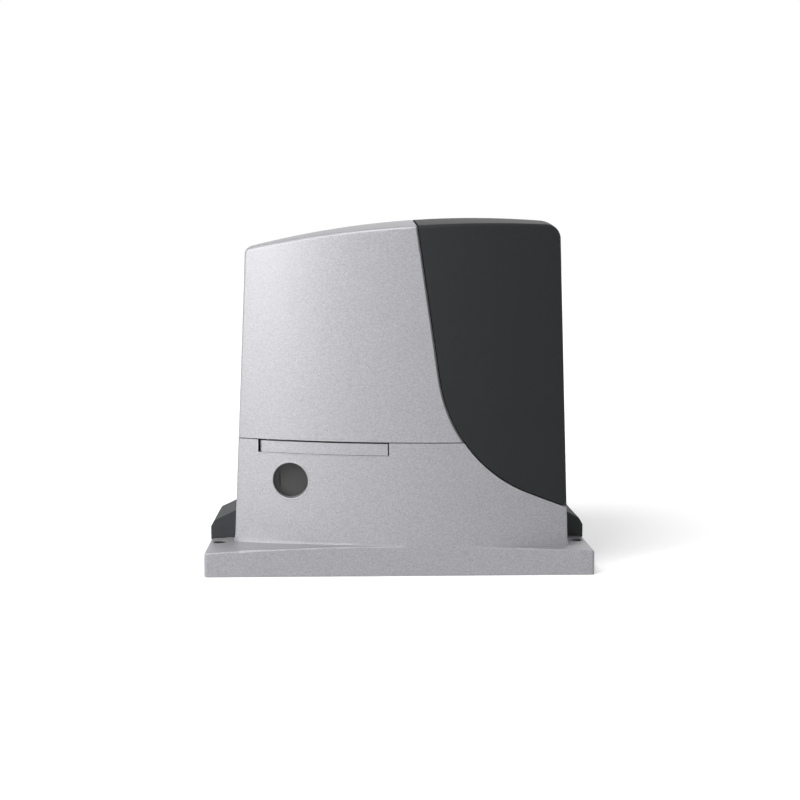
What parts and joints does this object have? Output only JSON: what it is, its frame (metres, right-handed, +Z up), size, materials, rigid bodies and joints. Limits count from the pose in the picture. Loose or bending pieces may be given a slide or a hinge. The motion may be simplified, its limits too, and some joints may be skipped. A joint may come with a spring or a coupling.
{
  "type": "sliding gate motor",
  "caption": "Rack-drive sliding gate operator: painted cast base, two-tone lift-off cover, keyed release lever, worm gear and rear pinion.",
  "frame": {"origin": "on the foundation, under the middle of the whole operator", "axes": "+X along the gate, +Y from the open front to the rack and pinion, +Z up"},
  "size_m": [0.33, 0.21, 0.303],
  "materials": {
    "silver_paint": "fine metallic paint, satin",
    "charcoal_plastic": "fine moulded grain, satin",
    "cap_plastic": "fine moulded grain, satin",
    "lock_plastic": "satin moulded",
    "steel": "turned and ground",
    "zinc_steel": "zinc plated",
    "pinion_steel": "milled, zinc plated",
    "bronze": "machined bronze",
    "copper": "bare copper",
    "aluminium": "as cast and machined",
    "magnet": "sintered ferrite",
    "rubber": "black, moulded",
    "gasket_fibre": "pressed fibre sheet",
    "black_plastic": "fine moulded grain",
    "grey_plastic": "fine moulded grain",
    "board_green": "solder mask over glass fibre",
    "terminal_green": "moulded",
    "component_black": "moulded",
    "winding_tape": "wound polyester tape",
    "button_plastic": "moulded"
  },
  "bodies": {
    "base": {"base_casting": "silver_paint", "cover_seal": "rubber", "left_foot_cap": "cap_plastic", "right_foot_cap": "cap_plastic", "gear_case_gasket": "gasket_fibre", "gear_case_cover": "aluminium", "gear_case_screws": "zinc_steel", "shaft_bearing_shells": "steel", "worm_bearing_shells": "steel", "rear_shaft_seal": "rubber", "motor_can": "zinc_steel", "motor_magnets": "magnet", "motor_end_cap": "aluminium", "motor_brushes": "copper", "brush_holder": "black_plastic", "motor_screws": "zinc_steel", "encoder_sensor": "black_plastic", "lever_pin": "steel", "lock_body": "zinc_steel", "limit_switch_box": "black_plastic", "board_carrier": "grey_plastic", "control_board": "board_green", "board_screws": "zinc_steel", "terminal_blocks": "terminal_green", "board_components": "component_black", "button_bases": "component_black", "mains_transformer": "winding_tape", "transformer_pads": "rubber", "transformer_clamp": "zinc_steel", "transformer_bolt": "zinc_steel", "cable_grommet": "rubber"},
    "cover": {"silver_cover": "silver_paint", "charcoal_cover": "charcoal_plastic", "cover_screw": "zinc_steel"},
    "output": {"output_shaft": "steel", "worm_wheel": "bronze", "wheel_circlip": "steel", "rack_pinion": "pinion_steel", "pinion_key": "steel", "pinion_retainer": "zinc_steel", "shaft_bearing_races": "steel"},
    "rotor": {"worm_shaft": "steel", "worm_bearing_races": "steel", "motor_armature": "copper", "commutator": "copper", "encoder_disc": "black_plastic"},
    "lever": {"release_lever": "silver_paint"},
    "fork": {"clutch_fork": "steel"},
    "clutch": {"clutch_ring": "steel"},
    "shutter": {"lock_shutter": "lock_plastic"},
    "barrel": {"lock_barrel": "zinc_steel"},
    "limit": {"limit_arm": "zinc_steel"},
    "open_key": {"open_button": "button_plastic"},
    "close_key": {"close_button": "button_plastic"}
  },
  "joints": [
    {"name": "cover_lift", "type": "slide", "parent": "base", "child": "cover", "axis": [0, 0, 1], "range_m": [0, 0.25]},
    {"name": "output_spin", "type": "hinge", "parent": "base", "child": "output", "pos_m": [0, 0, 0.077], "axis": [0, 1, 0], "continuous": true},
    {"name": "rotor_spin", "type": "hinge", "parent": "base", "child": "rotor", "pos_m": [0.0485, 0.012, 0.1], "axis": [0, 0, 1], "continuous": true},
    {"name": "lever_swing", "type": "hinge", "parent": "base", "child": "lever", "pos_m": [-0.1125, -0.06345, 0.1065], "axis": [0, 0, -1], "range_deg": [0, 90]},
    {"name": "fork_slide", "type": "slide", "parent": "base", "child": "fork", "axis": [0, -1, 0], "range_m": [0, 0.006]},
    {"name": "clutch_slide", "type": "slide", "parent": "output", "child": "clutch", "axis": [0, -1, 0], "range_m": [0, 0.006]},
    {"name": "shutter_slide", "type": "slide", "parent": "base", "child": "shutter", "axis": [1, 0, 0], "range_m": [0, 0.03]},
    {"name": "barrel_turn", "type": "hinge", "parent": "base", "child": "barrel", "pos_m": [-0.093, -0.05, 0.078], "axis": [0, 1, 0], "range_deg": [0, 90]},
    {"name": "limit_swing", "type": "hinge", "parent": "base", "child": "limit", "pos_m": [0, 0.0645, 0.139], "axis": [0, 0, 1], "range_deg": [-30, 30], "stiffness_Nm_per_rad": 0.1},
    {"name": "open_press", "type": "slide", "parent": "base", "child": "open_key", "axis": [0, 1, 0], "range_m": [0, 0.001], "stiffness_N_per_m": 300},
    {"name": "close_press", "type": "slide", "parent": "base", "child": "close_key", "axis": [0, 1, 0], "range_m": [0, 0.001], "stiffness_N_per_m": 300}
  ],
  "couplings": [
    {"joint": "rotor_spin", "follows": "output_spin", "ratio": 30},
    {"joint": "fork_slide", "follows": "lever_swing", "m_per_rad": 0.0038197},
    {"joint": "clutch_slide", "follows": "lever_swing", "m_per_rad": 0.0038197}
  ]
}
